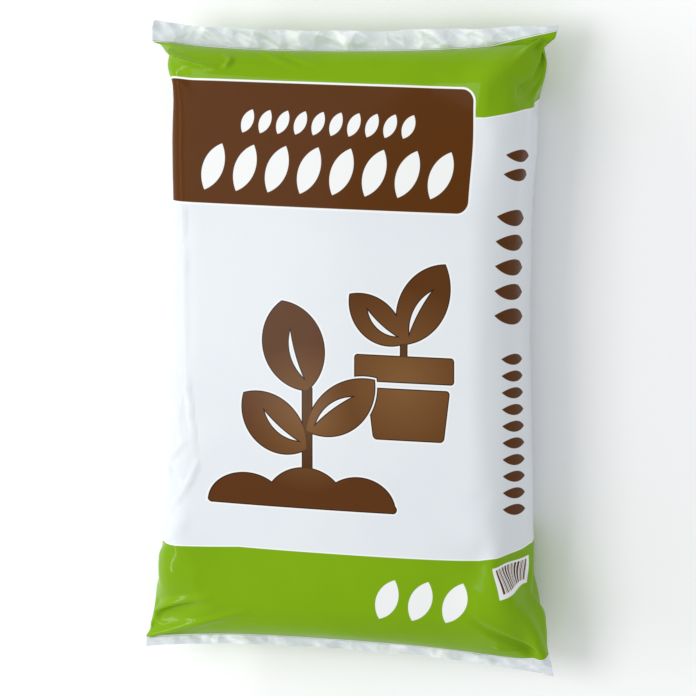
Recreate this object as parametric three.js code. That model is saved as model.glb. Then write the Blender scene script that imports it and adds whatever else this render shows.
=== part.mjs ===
// A compost bag: a tube of printed polyethylene film, packed with potting soil and welded flat across both ends.
// The bag is one sealed piece. It lies on its back, as it does on a shelf or a pallet.
// Millimetres, +Z up, +X to the right of the printed face, +Y towards the head of the bag.
// The origin is on the ground, under the middle of the bag.
import * as THREE from "three";

// Sizes of the filled bag.
const LENGTH = 600; // over the corners of both fins
const WAIST_WIDTH = 334; // across the filled body, half way up
const EDGE_HEIGHT = 108; // of the filled body, where the face turns into the sides
const CROWN = 7; // how much higher the middle of the face stands
const SIDE_ROUND = 44; // how far in from the side the face starts to turn down

// The fins: film beyond the welds, two layers pressed together and crumpled to about this thickness.
const FIN_THICKNESS = 1.4;
const WELD_HEIGHT = 44; // of the weld above the ground
const WELD_SIDES = 0.9; // how much of the half width the sides take up at the weld, where the face is least flat
const FIN_DROOP = 3; // how much lower the free edge of a fin hangs

// Each end of the bag. The weld is wider than the body, so its corners stand out as ears.
// ear and spread are how much half the width grows at the weld, at once and gradually, and over what distance.
// sag is how far the soil draws the middle of the weld in from its corners.
const HEAD = { direction: 1, fin: 18, ear: 12, earReach: 9, spread: 10, spreadReach: 60, sag: 10 };
const TAIL = { direction: -1, fin: 9, ear: 19, earReach: 14, spread: 14, spreadReach: 110, sag: 13 };
const SAG_REACH = 70; // how far into the body the sag fades

// The shoulders, where the film closes from the full body to the weld.
const FACE_SHOULDER = 100; // length of the shoulder in the face
const BACK_SHOULDER = 74; // length of the shoulder in the back, which then lies on the ground
const SHOULDER_POWER = 2.2; // 2 is a quarter of an ellipse, and more is squarer

// How finely the skin is divided.
const AROUND = 60; // points around a section, a multiple of 4
const SHOULDER_STEPS = 11;
const BODY_STEPS = 8;
const CYLINDER_RADIUS = 1; // of the cylinder that the skin is made from

// How much half the width has grown at a distance in from the weld of one end.
function spreadAt(end, distance) {
  return (
    end.ear * Math.exp(-distance / end.earReach) + end.spread * Math.exp(-distance / end.spreadReach)
  );
}

// How far the section has opened at a distance in from the weld: 0 at the weld and 1 past the shoulder.
function openingAt(distance, shoulder) {
  const left = 1 - Math.min(distance / shoulder, 1);
  return Math.pow(1 - Math.pow(left, SHOULDER_POWER), 1 / SHOULDER_POWER);
}

// The places along Y where the bag has a section, from the tail's free edge to the head's.
// Each knows its distance in from the weld of either end, which is negative in a fin.
function stationsAlong() {
  const tailWeld = -LENGTH / 2 + TAIL.fin;
  const headWeld = LENGTH / 2 - HEAD.fin;
  const shoulder = (step) => FACE_SHOULDER * (1 - Math.cos((step / SHOULDER_STEPS) * (Math.PI / 2)));
  const places = [-LENGTH / 2];
  for (let step = 0; step < SHOULDER_STEPS; step++) places.push(tailWeld + shoulder(step));
  const bodyStart = tailWeld + FACE_SHOULDER;
  const bodyEnd = headWeld - FACE_SHOULDER;
  for (let step = 0; step <= BODY_STEPS; step++) {
    places.push(THREE.MathUtils.lerp(bodyStart, bodyEnd, step / BODY_STEPS));
  }
  for (let step = SHOULDER_STEPS - 1; step >= 0; step--) places.push(headWeld - shoulder(step));
  places.push(LENGTH / 2);
  return places.map((y) => ({ y, fromTail: y - tailWeld, fromHead: headWeld - y }));
}

// The outline of the bag in XZ at a station: flat on top and below, with elliptical sides.
// At a weld the sides reach to the middle, so the section closes like a lens.
function sectionAt(station) {
  const fromWeld = Math.max(Math.min(station.fromTail, station.fromHead), 0);
  const inFin = station.fromTail < 0 || station.fromHead < 0;
  const halfWidth =
    WAIST_WIDTH / 2 +
    spreadAt(TAIL, Math.max(station.fromTail, 0)) +
    spreadAt(HEAD, Math.max(station.fromHead, 0));
  const weld = inFin ? WELD_HEIGHT - FIN_DROOP : WELD_HEIGHT;
  const faceOpening = openingAt(fromWeld, FACE_SHOULDER);
  const high = THREE.MathUtils.lerp(weld + FIN_THICKNESS / 2, EDGE_HEIGHT, faceOpening);
  const low = (weld - FIN_THICKNESS / 2) * (1 - openingAt(fromWeld, BACK_SHOULDER));
  const sideReach = THREE.MathUtils.lerp(halfWidth * WELD_SIDES, SIDE_ROUND, faceOpening);
  const middle = (high + low) / 2;
  const sideHeight = (high - low) / 2;
  const quarter = Math.PI / 2;
  const outline = new THREE.Path();
  const centre = halfWidth - sideReach;
  outline.absellipse(centre, middle, sideReach, sideHeight, 0, quarter, false, 0);
  outline.absellipse(-centre, middle, sideReach, sideHeight, quarter, 2 * quarter, false, 0);
  outline.absellipse(-centre, middle, sideReach, sideHeight, 2 * quarter, 3 * quarter, false, 0);
  outline.absellipse(centre, middle, sideReach, sideHeight, 3 * quarter, 4 * quarter, false, 0);
  return { ...station, halfWidth, middle, points: outline.getSpacedPoints(AROUND) };
}

// Crowns the face, and draws the middle of each weld in from its corners.
function settle(point, section) {
  const inward = 1 - Math.pow(point.x / section.halfWidth, 2);
  const along = 1 - Math.pow((2 * section.y) / LENGTH, 2);
  const height = point.z / EDGE_HEIGHT;
  point.z += CROWN * inward * along * Math.max(height, 0) ** 2;
  for (const end of [HEAD, TAIL]) {
    const distance = Math.max(end === HEAD ? section.fromHead : section.fromTail, 0);
    point.y -= end.direction * end.sag * inward * Math.exp(-distance / SAG_REACH);
  }
  return point;
}

// The skin starts as a closed cylinder, whose vertices are then moved onto the sections.
function bagSkin() {
  const sections = stationsAlong().map(sectionAt);
  const rows = sections.length - 1;
  const skin = new THREE.CylinderGeometry(CYLINDER_RADIUS, CYLINDER_RADIUS, 1, AROUND, rows);
  skin.rotateX(Math.PI / 2);
  const position = skin.getAttribute("position");
  const vertex = new THREE.Vector3();
  for (let i = 0; i < position.count; i++) {
    vertex.fromBufferAttribute(position, i);
    const section = sections[Math.round((vertex.z + 0.5) * rows)];
    const turn = Math.atan2(vertex.x, vertex.y) / (2 * Math.PI);
    const place = Math.round(turn * AROUND + AROUND) % AROUND;
    const onAxis = Math.hypot(vertex.x, vertex.y) < CYLINDER_RADIUS / 2;
    const { x, y } = onAxis ? new THREE.Vector2(0, section.middle) : section.points[place];
    vertex.set(x, section.y, y);
    settle(vertex, section);
    position.setXYZ(i, vertex.x, vertex.y, vertex.z);
  }
  skin.computeVertexNormals();
  return skin;
}

// White polyethylene film with a satin gloss.
const film = new THREE.MeshStandardMaterial({ color: 0xe6ecef, roughness: 0.38, metalness: 0 });

const bag = new THREE.Group();
const filledBag = new THREE.Mesh(bagSkin(), film);
filledBag.name = "filled_bag";
bag.add(filledBag);

export default bag;
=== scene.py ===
# %% [markdown]
# # A compost bag
#
# A bag of potting soil starts as a tube of printed polyethylene film. The tube is welded flat across one
# end, filled, and welded across the other. The soil then pushes the film out until it is tight, and the
# weight of the bags above it in the stack presses it into a block with soft edges.
#
# This lesson makes the bag in the same order: a flat tube, its welds, the filling, the press, and last the
# print and the finish of the film. The frame gives the bag's size and place, in metres: it lies on its back,
# with its printed face up (+Z) and its head towards +Y.

# %% Load the frame
import math

import bmesh
import bpy
import numpy as np
from mathutils import Matrix, Vector, noise


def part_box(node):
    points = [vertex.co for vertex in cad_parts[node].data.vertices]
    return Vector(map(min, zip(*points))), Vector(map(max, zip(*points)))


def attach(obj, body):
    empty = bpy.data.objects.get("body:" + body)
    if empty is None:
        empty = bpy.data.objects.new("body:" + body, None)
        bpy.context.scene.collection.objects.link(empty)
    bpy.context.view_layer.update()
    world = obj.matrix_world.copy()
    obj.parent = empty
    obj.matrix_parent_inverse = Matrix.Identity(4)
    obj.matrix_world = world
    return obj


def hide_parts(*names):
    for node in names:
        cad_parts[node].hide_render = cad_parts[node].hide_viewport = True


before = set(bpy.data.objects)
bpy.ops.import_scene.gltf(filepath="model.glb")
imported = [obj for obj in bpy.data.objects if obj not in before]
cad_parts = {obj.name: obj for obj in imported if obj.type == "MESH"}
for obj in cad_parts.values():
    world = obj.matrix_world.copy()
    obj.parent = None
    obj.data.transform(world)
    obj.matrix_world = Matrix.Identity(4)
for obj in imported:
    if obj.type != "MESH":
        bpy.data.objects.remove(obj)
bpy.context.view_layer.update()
bag_low, bag_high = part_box("filled_bag")
bag_size = bag_high - bag_low
bag_middle = (bag_low + bag_high) / 2
MM = 0.001
print("the bag measures", [round(side / MM) for side in bag_size], "mm")

# %% [markdown]
# ## Camera
#
# The bag lies down, so the camera looks down on it: from almost straight above the face, a little from the
# right and a little from the head. A long lens keeps the print square, as a catalogue picture does.

# %% Camera
YAW = math.radians(18)
TILT = math.radians(8.7)
CAMERA_DISTANCE = 4.2
LENS = 236
SENSOR = 36
VIEW_END = 20  # how far the camera sees, in metres
AIM_RIGHT = -4 * MM  # from the middle of the bag to the middle of the view
AIM_UP = -2.2 * MM

towards_camera = Vector(
    (math.sin(YAW) * math.cos(TILT), math.sin(TILT), math.cos(YAW) * math.cos(TILT))
)
camera_right = Vector((0, 1, 0)).cross(towards_camera).normalized()
camera_up = towards_camera.cross(camera_right)

camera = bpy.data.objects.new("camera", bpy.data.cameras.new("camera"))
bpy.context.scene.collection.objects.link(camera)
bpy.context.scene.camera = camera
camera.data.lens = LENS
camera.data.sensor_width = SENSOR
aim = bag_middle + camera_right * AIM_RIGHT + camera_up * AIM_UP
turn = Matrix((camera_right, camera_up, towards_camera)).transposed()
camera.matrix_world = Matrix.Translation(aim + towards_camera * CAMERA_DISTANCE) @ turn.to_4x4()
camera.data.clip_end = VIEW_END
print("camera at", [round(c, 3) for c in camera.matrix_world.translation])

# %% [markdown]
# ## The flat tube
#
# Blown film comes off the machine as a seamless tube, pressed flat on a roll. A thin box stands for it: its
# top is the front of the bag and its bottom is the back. It is cut into small square cells, fine enough to
# wrinkle. Every point remembers its place on the flat film, so that the print can be laid on it later.

# %% Flat tube
CELL = 6 * MM
CELLS_ACROSS = 68
TUBE_CELLS = 101  # from weld to weld
HEAD_FIN_CELLS = 3
TAIL_FIN_CELLS = 2
HEAD_FIN = 18.5 * MM  # length of the fin beyond the weld
TAIL_FIN = 9.5 * MM
FLAT_GAP = 4 * MM  # between the two layers before the bag is filled

flat_width = CELLS_ACROSS * CELL
half_tube = TUBE_CELLS * CELL / 2


def edges_along(mesh, axis):
    """The edges of a mesh that run along X, Y or Z."""
    return [e for e in mesh.edges if abs((e.verts[0].co - e.verts[1].co).normalized()[axis]) > 0.99]


def flat_tube():
    """The flat tube, with its middle between the welds at the origin."""
    cells_along = TUBE_CELLS + HEAD_FIN_CELLS + TAIL_FIN_CELLS
    tube = bmesh.new()
    bmesh.ops.create_cube(tube, size=1)
    bmesh.ops.scale(tube, vec=(flat_width, cells_along * CELL, FLAT_GAP), verts=tube.verts)
    bmesh.ops.subdivide_edges(tube, edges=edges_along(tube, 0), cuts=CELLS_ACROSS - 1)
    bmesh.ops.subdivide_edges(tube, edges=edges_along(tube, 1), cuts=cells_along - 1)
    middle = (HEAD_FIN_CELLS - TAIL_FIN_CELLS) * CELL / 2
    bmesh.ops.translate(tube, vec=(0, middle, 0), verts=tube.verts)
    for vertex in tube.verts:
        beyond = max(abs(vertex.co.y) - half_tube, 0)
        if vertex.co.y > 0:
            vertex.co.y += beyond * (HEAD_FIN / (HEAD_FIN_CELLS * CELL) - 1)
        else:
            vertex.co.y -= beyond * (TAIL_FIN / (TAIL_FIN_CELLS * CELL) - 1)
    return tube


film = flat_tube()
print("flat tube of", len(film.faces), "cells,", round(flat_width / MM), "mm wide")

# %% [markdown]
# ## Where each point lies on the film
#
# The print runs round the tube, so its coordinates do too. `around` is the distance from the middle of the
# front, positive to the right, and reaches the middle of the back at plus and minus one flat width. `along`
# is the distance from the middle towards the head. They are kept as a UV map, because the print follows the
# film wherever it goes.

# %% Print coordinates
print_map = film.loops.layers.uv.new("print")
place_layer = film.verts.layers.float_vector.new("flat_place")
for vertex in film.verts:
    vertex[place_layer] = vertex.co
for face in film.faces:
    centre = face.calc_center_median()
    on_back = centre.z < -FLAT_GAP / 4
    for loop in face.loops:
        at = loop.vert.co
        around = at.x
        if on_back:
            around = math.copysign(flat_width, centre.x) - at.x
        loop[print_map].uv = (around, at.y)
print("the print goes", round(2 * flat_width / MM), "mm round the tube")

# %% [markdown]
# ## The welds
#
# A hot bar presses the two layers together across each end, and the film beyond it stays as a flat fin. The
# cloth simulation can do the same with sewing springs: loose edges that pull the points they join together.
# Each point in a weld or a fin is joined to the one behind it.

# %% Welds
NEAR_WELD = CELL / 10  # how far from the weld a point may be and still be on it


def in_fin(place):
    """Whether a flat place is in a weld or beyond it."""
    return abs(place.y) > half_tube - NEAR_WELD


welded = {}
for vertex in film.verts:
    if in_fin(vertex.co):
        key = (round(vertex.co.x / CELL, 1), round(vertex.co.y / CELL, 1))
        welded.setdefault(key, []).append(vertex)
for front, back in welded.values():
    if film.edges.get((front, back)) is None:
        film.edges.new((front, back))
print(len(welded), "pairs of points welded")

# %% [markdown]
# ## The filling and the press
#
# Soil pushes on the film from inside, which is what the cloth simulation calls pressure. The bag swells
# between a floor and a lid, as it lies in its stack, and its neighbours at both sides close in on it. The lid
# and the sides are a little dished, so that the bag keeps a soft crown. The sides leave the ends alone:
# there the film spreads out to the full width of the weld.

# %% Press plates
FRAMES = 40
SIDES_START = 6
SIDES_END = FRAMES * 2 // 3
SIDE_TRAVEL = 60 * MM
LID_EDGE = bag_size.z - 9 * MM  # height of the lid over the edges of the bag
LID_DISH = 7 * MM
WAIST = 165 * MM  # half the width of the bag at its waist
SIDE_DISH = 5 * MM
SIDE_REACH = 200 * MM  # from the middle of the bag to where the sides begin to open
SIDE_FLARE = 1.2
PEAR = {1: 9 * MM, -1: 20 * MM}  # how much further the right and the left side are out at the tail
PEAR_START = 50 * MM
FILM_START = 50 * MM  # height at which the flat tube begins
PLATE_SIZE = 0.5  # half a side of the floor and of the lid, in metres
PLATE_CELLS = 40
DISH_HALF_WIDTH = 180 * MM  # from the middle of a plate to where its dish ends
DISH_HALF_LENGTH = 280 * MM
DISH_END = 2  # how many times farther out than the edge of its dish a plate is level again
PRESS_SKIN = 1 * MM  # how far the film stays off the press
PRESS_DEPTH = 20 * MM  # how far behind its skin the press still pushes the film out
PRESS_DAMPING = 0.5


def press_part(name, mesh, upside_down=False):
    """A part of the press, which the film can't pass."""
    data = bpy.data.meshes.new(name)
    mesh.to_mesh(data)
    mesh.free()
    if upside_down:
        data.flip_normals()
    part = bpy.data.objects.new(name, data)
    bpy.context.scene.collection.objects.link(part)
    part.modifiers.new("press", "COLLISION")
    part.collision.thickness_outer = PRESS_SKIN
    part.collision.thickness_inner = PRESS_DEPTH
    part.collision.cloth_friction = 1
    part.collision.damping = PRESS_DAMPING
    return part


def press_plate(name, height, dish):
    """A level plate, with a dish in it over the bag."""
    plate = bmesh.new()
    bmesh.ops.create_grid(plate, x_segments=PLATE_CELLS, y_segments=PLATE_CELLS, size=PLATE_SIZE)
    for vertex in plate.verts:
        away = (vertex.co.x / DISH_HALF_WIDTH) ** 2 + (vertex.co.y / DISH_HALF_LENGTH) ** 2
        vertex.co.z = height + dish * (1 - min(away, DISH_END**2))
    return press_part(name, plate, upside_down=dish > 0)


press = [
    press_plate("press_floor", 0, 0),
    press_plate("press_lid", LID_EDGE, LID_DISH),
]
print("a floor, and a lid", round(LID_EDGE / MM), "mm above it at the edges of the bag")

# %% [markdown]
# ## The sides of the press
#
# Each side is a grid that is bent to the outline of a packed bag. Its place is keyed over the frames, so that
# it closes in while the bag swells.

# %% Press sides
WALL_CELLS = (60, 16)  # along and up
WALL_LENGTH = 0.54
WALL_HEIGHT = 0.16
WALL_FOOT = 0.02  # how far a wall goes below the floor
PEAR_REACH = 0.3  # over what length the bag widens towards its tail
FLARE_POWER = 1.5


def press_side(name, side):
    """An upright side, which is dished and opens towards the ends of the bag."""
    wall = bmesh.new()
    bmesh.ops.create_grid(wall, x_segments=WALL_CELLS[0], y_segments=WALL_CELLS[1], size=0.5)
    for vertex in wall.verts:
        along = vertex.co.x * WALL_LENGTH
        height = (vertex.co.y + 0.5) * WALL_HEIGHT - WALL_FOOT
        level = height / (bag_size.z / 2) - 1
        beyond = max(0, abs(along) - SIDE_REACH)
        tailwards = min(max((PEAR_START - along) / PEAR_REACH, 0), 1)
        width = WAIST + SIDE_DISH * (1 - level**2)
        width += SIDE_FLARE * beyond**FLARE_POWER + PEAR[side] * tailwards**FLARE_POWER
        vertex.co = (side * width, along, height)
    bmesh.ops.recalc_face_normals(wall, faces=wall.faces)
    wall.faces.ensure_lookup_table()
    outwards = wall.faces[0].normal.x * side > 0
    part = press_part(name, wall, upside_down=outwards)
    for frame_number, travel in ((1, SIDE_TRAVEL), (SIDES_START, SIDE_TRAVEL), (SIDES_END, 0)):
        part.location.x = side * travel
        part.keyframe_insert("location", frame=frame_number)
    return part


press += [press_side("press_right", 1), press_side("press_left", -1)]
print("press of", len(press), "parts, which closes until frame", SIDES_END)

# %% [markdown]
# ## The film before it is filled
#
# A little roughness in the flat film, taken from a noise that is the same each time, decides where the
# wrinkles start. Only the film between the welds will feel the soil, so those points get a group.

# %% Film object
ROUGHNESS_HEIGHT = 1.5 * MM
ROUGHNESS_SCALE = 25  # hills to a metre
ROUGHNESS_SEED = 3.1

for vertex in film.verts:
    rough_place = Vector(
        (vertex.co.x * ROUGHNESS_SCALE, vertex.co.y * ROUGHNESS_SCALE, ROUGHNESS_SEED)
    )
    vertex.co.z += ROUGHNESS_HEIGHT * noise.noise(rough_place)
bmesh.ops.translate(film, vec=(0, 0, FILM_START), verts=film.verts)
film_mesh = bpy.data.meshes.new("film")
film.to_mesh(film_mesh)
film.free()
film_object = bpy.data.objects.new("film", film_mesh)
bpy.context.scene.collection.objects.link(film_object)

filled = film_object.vertex_groups.new(name="filled")
between_welds = [vertex.index for vertex in film_mesh.vertices if not in_fin(vertex.co)]
filled.add(between_welds, 1, "REPLACE")
print(len(between_welds), "of", len(film_mesh.vertices), "points are between the welds")

# %% [markdown]
# ## How the film behaves
#
# The film is thin and hardly stretches, so its tension is high and its bending is low. The pressure stands
# for the soil. It eases off as the bag nears the volume that the soil takes up, in cubic metres. Gravity is
# off, because the press gives the bag its lying shape.

# %% Cloth
cloth = film_object.modifiers.new("cloth", "CLOTH")
film_settings = {
    "quality": 8,
    "mass": 0.15,
    "tension_stiffness": 80,
    "compression_stiffness": 80,
    "shear_stiffness": 20,
    "bending_stiffness": 0.5,
    "tension_damping": 5,
    "compression_damping": 5,
    "shear_damping": 5,
    "bending_damping": 0.5,
    "air_damping": 1,
    "use_pressure": True,
    "uniform_pressure_force": 6,
    "use_pressure_volume": True,
    "target_volume": 0.018,
    "pressure_factor": 1,
    "vertex_group_pressure": "filled",
    "use_sewing_springs": True,
    "sewing_force_max": 0,
}
for setting, value in film_settings.items():
    setattr(cloth.settings, setting, value)
cloth.settings.effector_weights.gravity = 0
cloth.collision_settings.distance_min = PRESS_SKIN
cloth.collision_settings.use_self_collision = False
print("the film is to hold", film_settings["target_volume"], "cubic metres")

# %% [markdown]
# ## Running the simulation
#
# Stepping through the frames runs the simulation. The filled film is then taken as a plain mesh, and the
# press is cleared away.

# %% Fill the bag
cloth.point_cache.frame_start = 1
cloth.point_cache.frame_end = FRAMES + 1
for frame_number in range(1, FRAMES + 1):
    bpy.context.scene.frame_set(frame_number)

graph = bpy.context.evaluated_depsgraph_get()
swollen = bpy.data.meshes.new_from_object(film_object.evaluated_get(graph))
film_object.modifiers.clear()
film_object.vertex_groups.clear()
film_object.data = swollen
for part in press:
    bpy.data.objects.remove(part)
bpy.context.scene.frame_set(1)
print("filled in", FRAMES, "frames")

# %% [markdown]
# ## Points as arrays
#
# The next steps move thousands of points at once, which is quick with arrays. One array holds where each
# point of the bag is now, and one where it was on the flat film.

# %% Points as arrays
def points_of(mesh):
    """The points of a mesh as an array."""
    points = np.zeros(len(mesh.vertices) * 3, np.float32)
    mesh.vertices.foreach_get("co", points)
    return points.reshape(-1, 3).astype(float)


def places_of(mesh):
    """The flat place of each point of a mesh as an array."""
    places = np.zeros(len(mesh.vertices) * 3, np.float32)
    mesh.attributes["flat_place"].data.foreach_get("vector", places)
    return places.reshape(-1, 3).astype(float)


points = points_of(swollen)
print("filled bag from", points.min(0).round(3), "to", points.max(0).round(3))

# %% [markdown]
# ## The fins
#
# The simulation leaves the welds and the fins ragged, because nothing holds them. On the real bag the bar has
# set the weld in one smooth line, a little gathered, and the fin stands straight out from it. So each end is
# drawn out again from the smoothed line of its weld, and the film next to it is drawn along.

# %% Fins
LAYER = 0.35 * MM  # from the middle of a fin to its outer faces
# For each weld: its side along Y, its width, where its middle is, how it slants, how far the soil draws its
# middle in, how square that curve is, and what share of the fin is missing at the right corner.
HEAD_WELD = {
    "side": 1,
    "width": 372 * MM,
    "middle": 0,
    "slant": 0.03,
    "sag": 10 * MM,
    "power": 2.6,
    "short": 0.3,
}
TAIL_WELD = {
    "side": -1,
    "width": 394 * MM,
    "middle": -7 * MM,
    "slant": -0.006,
    "sag": 11 * MM,
    "power": 3,
    "short": 0,
}
DRAW_REACH = 60 * MM  # how far into the bag the film is drawn along
FIN_FAN = 0.03  # how much wider the head's fin is at its free edge
FIN_DROOP = 0.15  # how much a fin falls for each millimetre that it stands out
WELD_SMOOTHING = 12  # passes


def smooth_line(line, times):
    """A row of points with its small bends smoothed away and its ends kept."""
    for _ in range(times):
        line[1:-1] = (line[:-2] + 2 * line[1:-1] + line[2:]) / 4
    return line


def draw_out(points, places, weld):
    """Sets the weld and the fin at one end of the bag."""
    side = weld["side"]
    from_weld = side * places[:, 1] - half_tube
    column = np.rint(places[:, 0] / CELL).astype(int) + CELLS_ACROSS // 2
    on_weld = np.abs(from_weld) < NEAR_WELD
    line = np.zeros((CELLS_ACROSS + 1, 3))
    for axis in range(3):
        line[:, axis] = np.bincount(column[on_weld], points[on_weld, axis])
    line /= np.bincount(column[on_weld])[:, None]
    across = np.linspace(-0.5, 0.5, CELLS_ACROSS + 1)
    drawn = smooth_line(line.copy(), WELD_SMOOTHING)
    drawn_in = weld["sag"] * (1 - np.abs(2 * across) ** weld["power"])
    drawn[:, 0] = across * weld["width"] + weld["middle"]
    drawn[:, 1] = drawn[[0, -1], 1].mean() - side * drawn_in + weld["slant"] * drawn[:, 0]
    reach = np.clip(1 + from_weld / DRAW_REACH, 0, 1)
    pull = reach**2 * (3 - 2 * reach)
    points += (drawn - line)[column] * pull[:, None]
    welded_film = from_weld > -NEAR_WELD
    out = from_weld[welded_film]
    fin = drawn[column[welded_film]]
    fin[:, 0] *= 1 + FIN_FAN * out / HEAD_FIN
    to_corner = np.clip(4 * across[column[welded_film]] - 1, 0, 1)
    fin[:, 1] += side * out * (1 - weld["short"] * to_corner)
    fin[:, 2] -= FIN_DROOP * out
    fin[:, 2] += np.sign(places[welded_film, 2]) * LAYER
    points[welded_film] = fin


places = places_of(swollen)
draw_out(points, places, HEAD_WELD)
draw_out(points, places, TAIL_WELD)
print("welds drawn to", [round(weld["width"] / MM) for weld in (HEAD_WELD, TAIL_WELD)], "mm")

# %% [markdown]
# ## The true length
#
# A simulation never ends at quite the size that was wanted. The bag is scaled along, to the length that the
# frame gives, and set on the ground.

# %% Length
low, high = points.min(0), points.max(0)
points[:, 1] -= (low[1] + high[1]) / 2
points[:, 1] *= bag_size.y / (high[1] - low[1])
points[:, 2] -= low[2]
swollen.vertices.foreach_set("co", points.astype(np.float32).ravel())
swollen.update()
print("scaled along by", round(bag_size.y / (high[1] - low[1]), 4))

# %% [markdown]
# ## Tight where it is full
#
# Packed soil holds the film tight and even over the face, and the film is slack only near the corners.
# Smoothing passes on the points do what the soil does: many over the middle of the front and the back, and a
# few everywhere else. The loose edges that sewed the welds are no longer needed.

# %% Smooth the faces
SMOOTH_HALF_WIDTH = 128 * MM
SMOOTH_HALF_LENGTH = 240 * MM
FACE_PASSES = 60
FILM_PASSES = 3

soft = bmesh.new()
soft.from_mesh(swollen)
sewing = [edge for edge in soft.edges if not edge.link_faces]
bmesh.ops.delete(soft, geom=sewing, context="EDGES")
place_layer = soft.verts.layers.float_vector["flat_place"]
tube_points = [v for v in soft.verts if not in_fin(v[place_layer])]
face_points = [
    v
    for v in tube_points
    if abs(v[place_layer].x) < SMOOTH_HALF_WIDTH and abs(v[place_layer].y) < SMOOTH_HALF_LENGTH
]
for chosen, passes in ((tube_points, FILM_PASSES), (face_points, FACE_PASSES)):
    for _ in range(passes):
        bmesh.ops.smooth_vert(
            soft, verts=chosen, factor=0.5, use_axis_x=True, use_axis_y=True, use_axis_z=True
        )
print(len(face_points), "points smoothed over the faces")

# %% [markdown]
# ## Where the soil has settled
#
# Soil runs into the necks below the corners of the welds and fills them out, a little differently at each
# corner. A push that fades smoothly with distance does the same. The middle of the right side is drawn in.

# %% Fill out the necks
# Where the film is pushed out sideways, or drawn in if the push is negative: the side, the place along, the
# reach and the push.
NECKS = (
    (1, 265 * MM, 28 * MM, 6 * MM),
    (1, 200 * MM, 45 * MM, 6 * MM),
    (1, 60 * MM, 170 * MM, -4.5 * MM),
    (1, -222 * MM, 34 * MM, 9 * MM),
    (-1, 272 * MM, 20 * MM, 8 * MM),
    (-1, 190 * MM, 40 * MM, 1.5 * MM),
    (-1, -110 * MM, 70 * MM, 4 * MM),
    (-1, -190 * MM, 32 * MM, 12 * MM),
    (-1, -222 * MM, 22 * MM, 5 * MM),
)
# Where the front film is pushed out along its normal: the place around and along, the reach and the push.
CHEEKS = (
    ((160 * MM, 246 * MM), 30 * MM, 6 * MM),
    ((150 * MM, -235 * MM), 30 * MM, 3 * MM),
    ((-158 * MM, 240 * MM), 28 * MM, 3 * MM),
)
NECK_FULL = 0.9  # share of the half waist from which a sideways push is at its full strength

for vertex in soft.verts:
    for side, along, reach, push in NECKS:
        share = min(max(side * vertex.co.x / (WAIST * NECK_FULL), 0), 1) ** 3
        near = math.exp(-(((vertex.co.y - along) / reach) ** 2))
        vertex.co.x += side * push * share * near
    at = vertex[place_layer]
    for (around, along), reach, push in CHEEKS:
        near = math.exp(-((at.x - around) ** 2 + (at.y - along) ** 2) / reach**2) * (at.z > 0)
        vertex.co += vertex.normal * push * near
soft.to_mesh(swollen)
soft.free()
print(len(NECKS), "pushes at the sides and", len(CHEEKS), "on the front")

# %% [markdown]
# ## A finer film
#
# The corners and the fins need smaller cells than the simulation used, because the film crumples there. Those
# parts are divided once more, and one subdivision surface rounds everything.

# %% Finer film
CORNER_REACH = 84 * MM  # from the weld to where the finer cells begin

finer = bmesh.new()
finer.from_mesh(swollen)
place_layer = finer.verts.layers.float_vector["flat_place"]


def wants_detail(face):
    """Whether a cell is in a fin, or on the front near an end."""
    at = sum((vertex[place_layer] for vertex in face.verts), Vector()) / len(face.verts)
    beyond = abs(at.y) - half_tube
    return beyond > 0 or (beyond > -CORNER_REACH and at.z > 0)


detailed = {edge for face in finer.faces if wants_detail(face) for edge in face.edges}
bmesh.ops.subdivide_edges(finer, edges=list(detailed), cuts=1, use_grid_fill=True)
bmesh.ops.recalc_face_normals(finer, faces=finer.faces)
finer.to_mesh(swollen)
finer.free()
rounding = film_object.modifiers.new("rounding", "SUBSURF")
rounding.levels = 1
rounding.render_levels = 1
graph = bpy.context.evaluated_depsgraph_get()
fine_mesh = bpy.data.meshes.new_from_object(film_object.evaluated_get(graph))
film_object.modifiers.clear()
film_object.data = fine_mesh
points = points_of(fine_mesh)
places = places_of(fine_mesh)
print("fine film of", len(fine_mesh.polygons), "faces")

# %% [markdown]
# ## Folds
#
# Where the wide weld meets the narrower body, the spare film gathers into a few crisp folds that run in from
# each corner, and a strip of small creases runs down the left edge. Each fold is an arc through three places
# on the film, in millimetres around and along.

# %% Fold places
# Each row has the start, middle and end of the arc, then the height, below zero for a hollow, and half width.
HEAD_LEFT_FOLDS = (
    ((-176, 274), (-145, 256), (-112, 250), 4.8, 4.0),
    ((-109, 251), (-105, 259), (-117, 268), 3.0, 3.2),
    ((-82, 276), (-58, 261), (-36, 252), 1.6, 4.0),
    ((-69, 276), (-39, 263), (-12, 256), 1.6, 4.0),
)
HEAD_RIGHT_FOLDS = (
    ((192, 302), (181, 288), (156, 262), 4.4, 3.6),
    ((197, 300), (193, 285), (190, 268), 3.2, 3.2),
    ((206, 298), (195, 270), (168, 232), -4.4, 6.0),
)
TAIL_LEFT_FOLDS = (
    ((-197, -280), (-172, -256), (-118, -238), 5.6, 5.0),
    ((-203, -303), (-165, -284), (-84, -246), 4.4, 5.5),
    ((-199, -284), (-200, -291), (-199, -298), 2.0, 2.4),
)
TAIL_RIGHT_FOLDS = (
    ((200, -303), (186, -268), (166, -232), 5.2, 8.0),
    ((190, -288), (160, -268), (118, -234), -4.4, 5.0),
    ((150, -276), (162, -281), (174, -281), 3.0, 3.2),
)
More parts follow.
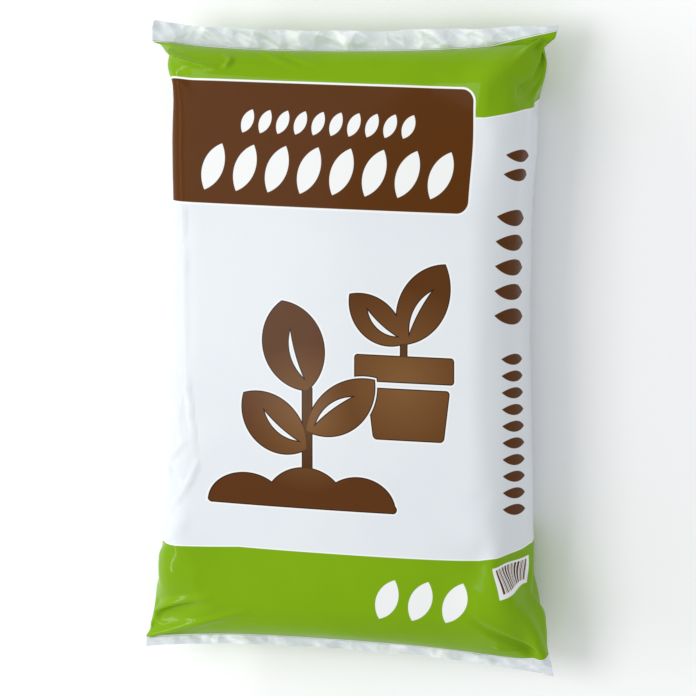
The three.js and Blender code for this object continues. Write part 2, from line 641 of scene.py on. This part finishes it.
LEFT_EDGE_FOLDS = (
    ((-150, 126), (-147, 104), (-157, 80), 1.6, 2.6),
    ((-146, 90), (-146, 30), (-143, -32), 1.8, 3.0),
    ((-143, -28), (-137, -72), (-131, -112), 2.0, 3.0),
    ((-131, -108), (-142, -134), (-162, -156), 2.0, 3.0),
    ((-165, -110), (-151, -100), (-140, -86), 1.6, 2.8),
    ((-167, -116), (-161, -122), (-157, -130), 1.6, 2.6),
    ((-168, 104), (-171, 10), (-168, -96), 1.8, 4.5),
)
FOLDS = HEAD_LEFT_FOLDS + HEAD_RIGHT_FOLDS + TAIL_LEFT_FOLDS + TAIL_RIGHT_FOLDS + LEFT_EDGE_FOLDS
print(len(FOLDS), "folds laid out")

# %% [markdown]
# ## The profile of a fold
#
# A fold rises quickly at its start and fades over its second half. Across it, the film is lifted by a bell
# with a slight hollow on both sides, because the film that makes the fold is drawn from there.

# %% Fold profile
ARC_STEPS = 40
FAR = 1e9  # farther than any place on the film
START_HEIGHT = 0.3  # share of a fold's height at its very start
RISE = 6  # how quickly the height is gained
FALL = 1.8  # how late it is lost
FALL_POWER = 0.8
HOLLOW = 0.8


def arc_through(start, middle, end):
    """Points on a smooth arc through three places, with how far along it each one is."""
    start, middle, end = (np.array(place) * MM for place in (start, middle, end))
    pull = 2 * middle - (start + end) / 2
    t = np.linspace(0, 1, ARC_STEPS)[:, None]
    return (1 - t) ** 2 * start + 2 * t * (1 - t) * pull + t**2 * end, t[:, 0]


def lift_of(fold, around_along):
    """How far one fold lifts each point of the film."""
    start, middle, end, height, width = fold
    arc, share = arc_through(start, middle, end)
    nearest = np.full(len(around_along), FAR)
    where = np.zeros(len(around_along))
    for place, along in zip(arc, share):
        distance = np.hypot(*(around_along - place).T)
        closer = distance < nearest
        nearest[closer] = distance[closer]
        where[closer] = along
    fade = np.minimum(1, RISE * where + START_HEIGHT)
    fade = fade * np.minimum(1, FALL * (1 - where)) ** FALL_POWER
    across = (nearest / (width * MM)) ** 2
    return height * MM * fade * (1 - HOLLOW * across) * np.exp(-across)


print("each fold is followed through", ARC_STEPS, "places")

# %% [markdown]
# ## Lifting the folds
#
# Every point of the film is lifted along its normal by the sum of all the folds near it. The folds stop at
# the welds, where the bar has pressed the film flat.

# %% Lift the folds
normals = np.zeros(len(fine_mesh.vertices) * 3, np.float32)
fine_mesh.vertices.foreach_get("normal", normals)
normals = normals.reshape(-1, 3).astype(float)
around = np.where(
    places[:, 2] >= 0, places[:, 0], np.sign(places[:, 0]) * flat_width - places[:, 0]
)
around_along = np.stack([around, places[:, 1]], 1)
in_tube = np.abs(places[:, 1]) < half_tube
lift = sum(lift_of(fold, around_along) for fold in FOLDS) * in_tube
print("the folds lift the film by up to", round(lift.max() / MM, 1), "mm")

# %% [markdown]
# ## Crumples
#
# The fins carry no load, so they crumple into small facets, and so does the slack strip along the left edge.
# A Voronoi noise says how far the nearest of many scattered places is, so it has even slopes that meet in
# crisp ridges, as crumpled film has. In a fin both layers move together, so the film keeps its thickness.

# %% Crumples
FIN_CRUMPLE = 3.0 * MM
EDGE_WAVE = 1.6 * MM  # how far the free edge of a fin strays
STRIP_CRUMPLE = 1.5 * MM
STRIP_MIDDLE = -165 * MM
STRIP_WIDTH = 22 * MM
STRIP_ENDS = (-190 * MM, 125 * MM)
FIN_FACETS = 33  # to a metre
STRIP_FACETS = 36
FIN_RISE = 5 * MM  # over what distance from the weld a fin begins to crumple
FINE_FACETS = 2.3  # how many times finer the small facets are
FINE_SHARE = 0.6  # how high they are, as a share of the large ones
FIN_SCALE = 0.8  # around: the facets of a fin are a little longer that way, and lean
EDGE_WAVES = (22, 3)  # waves to a metre along the free edge and out from it
STRIP_SCALE = (1.6, 0.7)  # around and along: its facets are narrow and long
STRIP_FAINTEST = 0.05  # share below which the strip isn't crumpled


def crumple(x, y, coarse, seed):
    """A crumpled height, mostly between -1 and 1, at a place on the film."""
    nearest = noise.voronoi(Vector((x * coarse, y * coarse, seed)))[0][0]
    fine_place = Vector((x * coarse * FINE_FACETS, y * coarse * FINE_FACETS, seed + 7))
    small = noise.voronoi(fine_place)[0][0]
    return 2 * nearest - 1 + FINE_SHARE * (2 * small - 1)


fin_push = np.zeros(len(points))
edge_push = np.zeros(len(points))
for index in np.flatnonzero(~in_tube):
    x, y = places[index, :2]
    out = abs(y) - half_tube
    facet = crumple(x * FIN_SCALE + y, y, FIN_FACETS, 2.0)
    fin_push[index] = FIN_CRUMPLE * min(out / FIN_RISE, 1) * facet
    wave = noise.noise(Vector((x * EDGE_WAVES[0], y * EDGE_WAVES[1], 9.0)))
    edge_push[index] = EDGE_WAVE * out / HEAD_FIN * wave
strip = np.exp(-(((around - STRIP_MIDDLE) / STRIP_WIDTH) ** 2))
strip *= (places[:, 1] > STRIP_ENDS[0]) & (places[:, 1] < STRIP_ENDS[1])
for index in np.flatnonzero(strip > STRIP_FAINTEST):
    x, y = around[index] * STRIP_SCALE[0], places[index, 1] * STRIP_SCALE[1]
    lift[index] += STRIP_CRUMPLE * strip[index] * crumple(x, y, STRIP_FACETS, 5.0)
points += normals * lift[:, None]
points[:, 2] += fin_push
points[:, 1] += edge_push
fine_mesh.vertices.foreach_set("co", points.astype(np.float32).ravel())
fine_mesh.update()
print("crumpled from", points.min(0).round(4), "to", points.max(0).round(4))

# %% [markdown]
# ## Floor
#
# The bag lies on a plain pale floor, which also throws light back on its sides.

# %% Floor
FLOOR_HALF_SIZE = 6  # metres
FLOOR_WHITE = (0.98, 0.98, 0.98, 1)
FLOOR_ROUGHNESS = 0.9

floor_mesh = bmesh.new()
bmesh.ops.create_grid(floor_mesh, x_segments=1, y_segments=1, size=FLOOR_HALF_SIZE)
floor_data = bpy.data.meshes.new("floor")
floor_mesh.to_mesh(floor_data)
floor_mesh.free()
floor = bpy.data.objects.new("floor", floor_data)
bpy.context.scene.collection.objects.link(floor)
floor_paint = bpy.data.materials.new("floor_paint")
floor_paint.use_nodes = True
floor_shader = floor_paint.node_tree.nodes["Principled BSDF"]
floor_shader.inputs["Base Color"].default_value = FLOOR_WHITE
floor_shader.inputs["Roughness"].default_value = FLOOR_ROUGHNESS
floor_data.materials.append(floor_paint)
print("floor", [round(side) for side in floor.dimensions[:2]], "m across")

# %% [markdown]
# ## Lights
#
# Plain film looks best in a pale room with one big soft light, high on the left, which leaves the right side
# in shade. A long narrow light low on the left is added for the folds: the film mirrors it only where it is
# steep, and so a crisp fold gets a thin bright line. Colours are shown as they are, with the Standard view.

# %% Lights
ROOM_COLOUR = (0.97, 0.985, 1, 1)
ROOM_STRENGTH = 0.69

bpy.context.scene.view_settings.view_transform = "Standard"
room = bpy.data.worlds.new("room")
bpy.context.scene.world = room
room.use_nodes = True
room.node_tree.nodes["Background"].inputs["Color"].default_value = ROOM_COLOUR
room.node_tree.nodes["Background"].inputs["Strength"].default_value = ROOM_STRENGTH


def soft_light(name, place, width, height, power):
    """A rectangular light that faces the bag. Its sides are in metres and its power in watts."""
    lamp = bpy.data.objects.new(name, bpy.data.lights.new(name, "AREA"))
    bpy.context.scene.collection.objects.link(lamp)
    lamp.data.shape = "RECTANGLE"
    lamp.data.size = width
    lamp.data.size_y = height
    lamp.data.energy = power
    lamp.location = place
    lamp.rotation_euler = (bag_middle - Vector(place)).to_track_quat("-Z", "Y").to_euler()


soft_light("front_light", (-2.8, 0.4, 4.7), 2.8, 2.8, 95)
soft_light("low_light", (-3.0, 0.5, 1.6), 5, 0.3, 47)
print("a room and two lights")

# %% [markdown]
# ## Shader maths in plain expressions
#
# A print is a picture made of simple shapes, and a shader can work each of them out from the place on the
# film. `Field` wraps one socket, so that a formula reads as a formula and adds the Math nodes it needs.

# %% Fields
def make_node(tree, kind, settings, inputs, output=0):
    """Adds a node to a tree and gives one of its outputs as a field."""
    made = tree.nodes.new(kind)
    for name, value in settings.items():
        setattr(made, name, value)
    for key, value in inputs.items():
        if isinstance(value, Field):
            tree.links.new(value.socket, made.inputs[key])
        else:
            made.inputs[key].default_value = value
    return Field(made.outputs[output])


class Field:
    """A number, colour or vector that a shader works out, kept as the socket that gives it."""

    def __init__(self, socket):
        self.socket = socket

    def node(self, kind, settings, inputs, output=0):
        """Any node: its type, its settings, the values or fields of its sockets, and the output wanted."""
        return make_node(self.socket.id_data, kind, settings, inputs, output)

    def maths(self, operation, *others, clamp=False):
        """A Math node on this field and others."""
        settings = {"operation": operation, "use_clamp": clamp}
        return self.node("ShaderNodeMath", settings, dict(enumerate((self, *others))))

    def __add__(self, other):
        return self.maths("ADD", other)

    __radd__ = __add__

    def __sub__(self, other):
        return self.maths("SUBTRACT", other)

    def __rsub__(self, other):
        return self.maths("MULTIPLY_ADD", -1, other)

    def __mul__(self, other):
        return self.maths("MULTIPLY", other)

    __rmul__ = __mul__

    def __truediv__(self, other):
        return self.maths("DIVIDE", other)

    def __neg__(self):
        return self.maths("MULTIPLY", -1)

    def __abs__(self):
        return self.maths("ABSOLUTE")

    def most(self, other):
        """The larger of the two: where both shapes are."""
        return self.maths("MAXIMUM", other)

    def least(self, other):
        """The smaller of the two: where either shape is."""
        return self.maths("MINIMUM", other)


def blend(below, above, mask):
    """One colour over another where the mask is 1."""
    settings = {"data_type": "RGBA", "blend_type": "MIX"}
    return mask.node("ShaderNodeMix", settings, {0: mask, 6: below, 7: above}, 2)


print("a field adds a node for each step of a formula")

# %% [markdown]
# ## Places on the print
#
# The print follows the film, so its places come from the UV map, in millimetres around and along. The film
# was fed a little askew where it turns into the right side, and the print climbs there.

# %% Places on the print
CLIMB = 0.17  # how steeply the print climbs on the right side
CLIMB_START = 137  # mm around
BACK_MIDDLE = 400  # mm around, close to the middle of the back
CLIMB_BACK = 0.8  # how fast the climb is lost again towards the middle of the back

film_paint = bpy.data.materials.new("film_paint")
film_paint.use_nodes = True
tree = film_paint.node_tree
film_shader = tree.nodes["Principled BSDF"]
film_uv = make_node(tree, "ShaderNodeUVMap", {"uv_map": "print"}, {})
flat_film = film_uv.node("ShaderNodeVectorMath", {"operation": "SCALE"}, {0: film_uv, 3: 1 / MM})
across_film = flat_film.node("ShaderNodeSeparateXYZ", {}, {0: flat_film}, 0)
along_flat = flat_film.node("ShaderNodeSeparateXYZ", {}, {0: flat_film}, 1)
climb = (across_film - CLIMB_START).least((BACK_MIDDLE - across_film) * CLIMB_BACK).most(0) * CLIMB
along_film = along_flat - climb
place = climb.node("ShaderNodeCombineXYZ", {}, {0: across_film, 1: along_film})
print("places on the print from", len(tree.nodes), "nodes")

# %% [markdown]
# ## Ink
#
# A shape of the print is a distance in millimetres from its edge, below zero inside. A mask turns the
# distance into ink, with an edge as soft as a printer's. A slightly larger mask under it gives the white line
# that keeps two inks apart.

# %% Ink
INK_EDGE = 0.35  # mm over which an ink fades in


def ink(distance, grow=0):
    """1 inside a shape that is grown by some millimetres, and 0 outside."""
    return distance.maths("MULTIPLY_ADD", -1 / INK_EDGE, 0.5 + grow / INK_EDGE, clamp=True)


print("an ink fades in over", INK_EDGE, "mm")

# %% [markdown]
# ## Leaves
#
# A leaf is the overlap of two discs, which meet at its base and its tip. How far each side bulges from the
# straight line between them sets the radius of its disc.

# %% Leaves
def from_point(x, y, where):
    """The distance from a point."""
    return where.node("ShaderNodeVectorMath", {"operation": "DISTANCE"}, {0: where, 1: (x, y, 0)}, 1)


def arc_side(start, end, bulge, where):
    """The inside of an arc from start to end, which bulges to its left, or to its right if it is negative."""
    start, end = Vector(start), Vector(end)
    chord = end - start
    left = Vector((-chord.y, chord.x)).normalized()
    radius = (chord.length_squared / 4 + bulge**2) / (2 * abs(bulge))
    middle = (start + end) / 2
    if bulge > 0:
        centre = middle + left * (bulge - radius)
        return from_point(*centre, where) - radius
    centre = middle + left * (bulge + radius)
    return radius - from_point(*centre, where)


def leaf(base, tip, left_bulge, right_bulge, where=place):
    """A leaf between two arcs."""
    return arc_side(base, tip, left_bulge, where).most(arc_side(tip, base, right_bulge, where))


print("a leaf is made of two discs")

# %% [markdown]
# ## Panels and domes
#
# A label, a stem and a pot are rectangles with round corners, and a pot narrows downwards. A heap of soil is
# made of low domes, which are discs pressed flat.

# %% Panels and domes
def panel(left, right, bottom, top, corner, lean=0):
    """A rectangle with round corners. With a lean, it narrows downwards by that share of the drop."""
    middle_x, middle_y = (left + right) / 2, (bottom + top) / 2
    x = abs(across_film - middle_x)
    if lean:
        x = x - (along_film - top) * lean
    beyond_x = (x - ((right - left) / 2 - corner)).most(0)
    beyond_y = (abs(along_film - middle_y) - ((top - bottom) / 2 - corner)).most(0)
    return (beyond_x * beyond_x + beyond_y * beyond_y).maths("SQRT") - corner


def dome(x, y, half_width, height):
    """A low dome on the line at y."""
    shrink = (1 / half_width, 1 / height, 0)
    pressed = place.node("ShaderNodeVectorMath", {"operation": "MULTIPLY"}, {0: place, 1: shrink})
    return ((from_point(x / half_width, y / height, pressed) - 1) * height).most(y - along_film)


print("a panel has round corners, and a dome is a flattened disc")

# %% [markdown]
# ## The picture
#
# The print shows what the bag is for: a seedling in a heap of soil, and a young plant in a pot. Both are
# drawn here from the shapes above, in brown.

# %% Heap and stem
SOIL_LINE = -143
SEEDLING_X = -25
STEM_HALF_WIDTH = 5.3
HEAP_DOMES = ((-84, 37, 28), (-27, 40, 36), (24, 36, 30))  # middle, half width and height

heap = panel(-121, 61, SOIL_LINE - 2, SOIL_LINE + 6, 4)
for middle, half_width, height in HEAP_DOMES:
    heap = heap.least(dome(middle, SOIL_LINE, half_width, height))
stem = panel(SEEDLING_X - STEM_HALF_WIDTH, SEEDLING_X + STEM_HALF_WIDTH, SOIL_LINE + 20, -34, 1)
seedling = heap.least(stem)
print("a heap of", len(HEAP_DOMES), "domes, and a stem")

# %% [markdown]
# ## The leaves of the picture
#
# Each leaf is given by its base, its tip and how far its two sides bulge, in millimetres. A light slit runs
# along it, from near its base to past its middle, in place of a vein.

# %% Sprays
SEEDLING_LEAVES = (
    ((-25, -38), (-50, 43), 31, 29),
    ((-25, -91), (-87, -42), 27, 21),
    ((-27, -74), (40, -24), 18, 25),
)
POT_LEAVES = (
    ((68, 9), (15, 52), 20, 17),
    ((66, 8), (107, 82), 24, 22),
)
SLIT_START = 0.16  # share of the leaf's length
SLIT_END = 0.66
SLIT_BULGES = (6, -1.5)


def with_veins(leaves):
    """A spray of leaves, each with a light slit from near its base to past its middle."""
    blades = None
    slits = None
    for base, tip, left_bulge, right_bulge in leaves:
        blade = leaf(base, tip, left_bulge, right_bulge)
        start = Vector(base).lerp(Vector(tip), SLIT_START)
        end = Vector(base).lerp(Vector(tip), SLIT_END)
        slit = leaf(start, end, *SLIT_BULGES)
        blades = blade if blades is None else blades.least(blade)
        slits = slit if slits is None else slits.least(slit)
    return blades, slits


seedling_leaves, seedling_veins = with_veins(SEEDLING_LEAVES)
seedling = seedling.least(seedling_leaves)
pot_leaves, pot_veins = with_veins(POT_LEAVES)
print(len(SEEDLING_LEAVES) + len(POT_LEAVES), "leaves with slits")

# %% [markdown]
# ## The pot and the whole picture
#
# The pot is a rim and a body that narrows downwards, with a gap between them. The seedling stands in front,
# so a white line of the film is kept free around it where it crosses the pot.

# %% Picture
KEY_LINE = 1.5  # width of the white line around a shape
pot = panel(20, 116, -26, -1.5, 3.5).least(panel(32, 112, -78, -31, 4, lean=0.13))
pot = pot.least(panel(63.5, 71, -5, 22, 1)).least(pot_leaves)
pot_shape = pot.most(KEY_LINE - seedling).most(-pot_veins)
seedling_shape = seedling.most(-seedling_veins)
picture = pot_shape.least(seedling_shape)
print("print of", len(tree.nodes), "nodes so far")

# %% [markdown]
# ## Plain marks
#
# Where a bag carries words, this one has a plain row of leaves, and a panel of stripes takes the place of a
# shop code: they stand for print and say nothing. One leaf makes a whole row, because the place on the film
# is wrapped round every few millimetres before the leaf is drawn.

# %% Leaf rows
# Each row has its middle around and along, how many leaves it has, their step and their height, in mm.
FRONT_ROWS = (
    (-8, 202, 10, 17, 21),
    (-9, 160, 8, 31, 42),
    (80, -226, 3, 31, 40),
)
SIDE_ROWS = (
    (176, 163, 2, 17, 38),
    (177, 72, 5, 22, 44),
    (178, -78, 10, 15, 32),
)
LEAF_LEAN = 0.28  # how far a leaf's ends are from its middle, as a share of the step between leaves
LEAF_BULGE = 0.32


def leaf_row(x, y, count, step, height, upright=False):
    """A row of slanting leaves around a place, which runs across the film or up it."""
    run = (along_film - y) if upright else (across_film - x)
    rise = (x - across_film) if upright else (along_film - y)
    shift = 0.5 if count % 2 == 0 else 0
    wrapped = (run / step + shift).maths("WRAP", 0.5, -0.5)
    cell = wrapped.node("ShaderNodeCombineXYZ", {}, {0: wrapped * step, 1: rise})
    lean = LEAF_LEAN * step
    bulge = LEAF_BULGE * step
    blade = leaf((-lean, -height / 2), (lean, height / 2), bulge, bulge, cell)
    return blade.most(abs(run) - count * step / 2)


def leaf_rows(rows, upright=False):
    """Several rows of leaves as one shape."""
    shape = leaf_row(*rows[0], upright)
    for row in rows[1:]:
        shape = shape.least(leaf_row(*row, upright))
    return shape


white_marks = leaf_rows(FRONT_ROWS)
brown_marks = leaf_rows(SIDE_ROWS, upright=True)
print(len(FRONT_ROWS), "rows of leaves on the front and", len(SIDE_ROWS), "up the right side")

# %% [markdown]
# ## Bands, label and stripes
#
# Green bands run round both ends of the bag and stop at the welds. A brown label lies over the front and the
# left side. The stripes of the panel come from two waves of different lengths, so that they look uneven.

# %% Bands, label and stripes
HEAD_BAND = 212.5  # mm from the middle of the bag to the near edge of the band
TAIL_BAND = -185
LEFT_START = 90  # on the left, the tail's band is a little narrower from here on
LEFT_DROP = 0.1
LABEL = {"left": -232, "right": 127, "bottom": 127, "top": 237, "corner": 11}
weld_line = half_tube / MM

drop = (-across_film - LEFT_START).most(0) * LEFT_DROP
green = (HEAD_BAND - along_film).least(along_film + drop - TAIL_BAND)
green = green.most(abs(along_film) - (weld_line - 0.5))
label = panel(**LABEL)
code_panel = panel(149, 200, -222.5, -194, 0.8)
long_wave = (across_film * 0.9).maths("SINE")
short_wave = (across_film * 2.3 + 1).maths("SINE")
code_stripes = abs(long_wave + 0.8 * short_wave) - 0.8
code_stripes = code_stripes.most(panel(153, 196, -218.5, -196.5, 0.3))
print("bands, a label and a panel, in", len(tree.nodes), "nodes")

# %% [markdown]
# ## The inks
#
# The film is white polyethylene. Its white is a little cold and not quite even, because the dark soil shows
# through where it presses against the film. The green isn't quite even either, and the brown of the picture
# is lighter in its middle, so these colours are blends of two, mixed by a soft noise or by a distance.

# %% Inks
WHITE_FILM = (0.74, 0.77, 0.80, 1)
DULL_FILM = (0.67, 0.705, 0.74, 1)
WHITE_INK = (0.84, 0.85, 0.84, 1)
GREEN_INK = (0.203, 0.392, 0.0015, 1)
DEEP_GREEN_INK = (0.174, 0.345, 0.001, 1)
BROWN_INK = (0.096, 0.029, 0.003, 1)
LIGHT_BROWN_INK = (0.190, 0.086, 0.026, 1)
DARK_BROWN_INK = (0.022, 0.005, 0.001, 1)
CLOUD_SCALE = 9  # clouds to a metre
PALE_RADIUS = 8  # mm around each pale middle
SEEDLING_MIDDLE = (-24, -62)
SEEDLING_FADE = 60  # mm over which the pale brown turns into the full brown
POT_MIDDLE = (66, -26)
POT_FADE = 80


def stretched(field, start, gain):
    """0 where a field is below the start, and from there rising by the gain, up to 1."""
    return (field - start).maths("MULTIPLY", gain, clamp=True)


object_place = make_node(tree, "ShaderNodeTexCoord", {}, {}, 3)
cloudy = object_place.node("ShaderNodeTexNoise", {}, {0: object_place, "Scale": CLOUD_SCALE, "Detail": 3})
film_colour = blend(WHITE_FILM, DULL_FILM, stretched(cloudy, 0.45, 1.6))
green_colour = blend(GREEN_INK, DEEP_GREEN_INK, stretched(cloudy, 0.35, 2))
seedling_glow = (from_point(*SEEDLING_MIDDLE, place) - PALE_RADIUS) / SEEDLING_FADE
pot_glow = (from_point(*POT_MIDDLE, place) - PALE_RADIUS) / POT_FADE
glow = seedling_glow.least(pot_glow).maths("MULTIPLY", 1, clamp=True)
brown_colour = blend(LIGHT_BROWN_INK, BROWN_INK, glow)
print("inks mixed, the film's white is", WHITE_FILM[:3])

# %% [markdown]
# ## Printing
#
# A press lays its inks one over the other, and so does this cell: each step blends one ink over what is there
# already, where its mask is 1. The white under the green, the label and the picture is a little larger than
# they are, and shows as a thin line. The picture has a dark outline, which its brown leaves free.

# %% Printing
GREEN_LINE = 1.4  # mm of white outside the green bands
LABEL_LINE = 1.9  # mm of white outside the label
OUTLINE = 1.0  # mm of dark brown inside the picture's edge

colour = blend(film_colour, WHITE_INK, ink(green, GREEN_LINE))
colour = blend(colour, green_colour, ink(green))
colour = blend(colour, WHITE_INK, ink(label, LABEL_LINE))
colour = blend(colour, BROWN_INK, ink(label))
colour = blend(colour, WHITE_INK, ink(white_marks.least(code_panel)))
colour = blend(colour, WHITE_INK, ink(picture, KEY_LINE))
colour = blend(colour, DARK_BROWN_INK, ink(picture))
colour = blend(colour, brown_colour, ink(picture, -OUTLINE))
colour = blend(colour, BROWN_INK, ink(brown_marks.least(code_stripes)))
print("printed with", len(tree.nodes), "nodes")

# %% [markdown]
# ## The fins' colour and painted sheen
#
# The fins have no ink and let light through, so they look silvery. They are grey film with white streaks of
# painted highlight, which stand for the sheen of the creased film. A noise that is distorted gives long, bent
# streaks.

# %% Silver fins
FIN_FILM = (0.70, 0.74, 0.77, 1)
# The white of the streaks is painted highlight: it stands for the sheen of the creased fin film.
FIN_SHEEN_STREAK = (0.90, 0.92, 0.94, 1)
FIN_START = 0.9  # mm beyond the weld, where the silvery film begins
SHEEN_STREAK_NOISE = {"Scale": 26, "Detail": 2, "Distortion": 2}

in_fin_mask = ink((weld_line + FIN_START) - abs(along_film))
sheen_streaks = object_place.node("ShaderNodeTexNoise", {}, {0: object_place, **SHEEN_STREAK_NOISE})
# The fins are grey film with streaks of painted highlight over it.
fin_colour_and_sheen = blend(FIN_FILM, FIN_SHEEN_STREAK, stretched(sheen_streaks, 0.48, 5))
colour = blend(colour, fin_colour_and_sheen, in_fin_mask)
tree.links.new(colour.socket, film_shader.inputs["Base Color"])
print("fins from", round(weld_line + FIN_START, 1), "mm outwards")

# %% [markdown]
# ## The finish
#
# The film has a satin gloss. A weak reflection under a thin smooth coat keeps the inks deep, and lets only
# the folds shine. The coat is thinner on the label and stronger on the fins, whose bump has flat facets.

# %% Finish of the film
FILM_ROUGHNESS = 0.26
FILM_SPECULAR = 0.03
FILM_COAT = 0.2
COAT_ROUGHNESS = 0.1
GRAIN_SCALE = 160  # grains to a metre
RIPPLE_SCALE = 55
FACET_SCALE = 38
BUMP_DEPTH = 2 * MM
CLOUD_ROUGHNESS = 0.12  # how much rougher the film is where it is cloudy
GRAIN_ROUGHNESS = 0.06
FIN_SMOOTHNESS = 0.12  # how much less rough a fin is
FIN_COAT = 0.3  # how much more of the coat a fin has
LABEL_COAT = 0.15  # how much less of it the label has
RIPPLE_BUMP = 0.08
FACET_BUMP = 2.4

grain = object_place.node("ShaderNodeTexNoise", {}, {0: object_place, "Scale": GRAIN_SCALE, "Detail": 2})
roughness = FILM_ROUGHNESS + CLOUD_ROUGHNESS * cloudy + GRAIN_ROUGHNESS * grain
roughness = roughness - FIN_SMOOTHNESS * in_fin_mask
tree.links.new(roughness.socket, film_shader.inputs["Roughness"])
film_shader.inputs["Specular IOR Level"].default_value = FILM_SPECULAR
coat = FILM_COAT + FIN_COAT * in_fin_mask - LABEL_COAT * ink(label)
tree.links.new(coat.socket, film_shader.inputs["Coat Weight"])
film_shader.inputs["Coat Roughness"].default_value = COAT_ROUGHNESS
ripple = object_place.node("ShaderNodeTexNoise", {}, {0: object_place, "Scale": RIPPLE_SCALE, "Detail": 4})
facets = object_place.node("ShaderNodeTexVoronoi", {}, {0: object_place, "Scale": FACET_SCALE})
height = RIPPLE_BUMP * ripple + FACET_BUMP * facets * in_fin_mask
bump = height.node("ShaderNodeBump", {}, {"Distance": BUMP_DEPTH, "Height": height})
tree.links.new(bump.socket, film_shader.inputs["Normal"])
fine_mesh.materials.clear()
fine_mesh.materials.append(film_paint)
fine_mesh.shade_smooth()
print("film material of", len(tree.nodes), "nodes")

# %% [markdown]
# ## Place the piece
#
# The film is one piece, which rides on the bag's body and stands in for the plain CAD solid. Soil fills it
# almost to the top.

# %% Place the piece
film_object.name = "bag_film"
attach(film_object, "root")
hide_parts("filled_bag")
print(film_object.name, "has", len(fine_mesh.polygons), "faces")
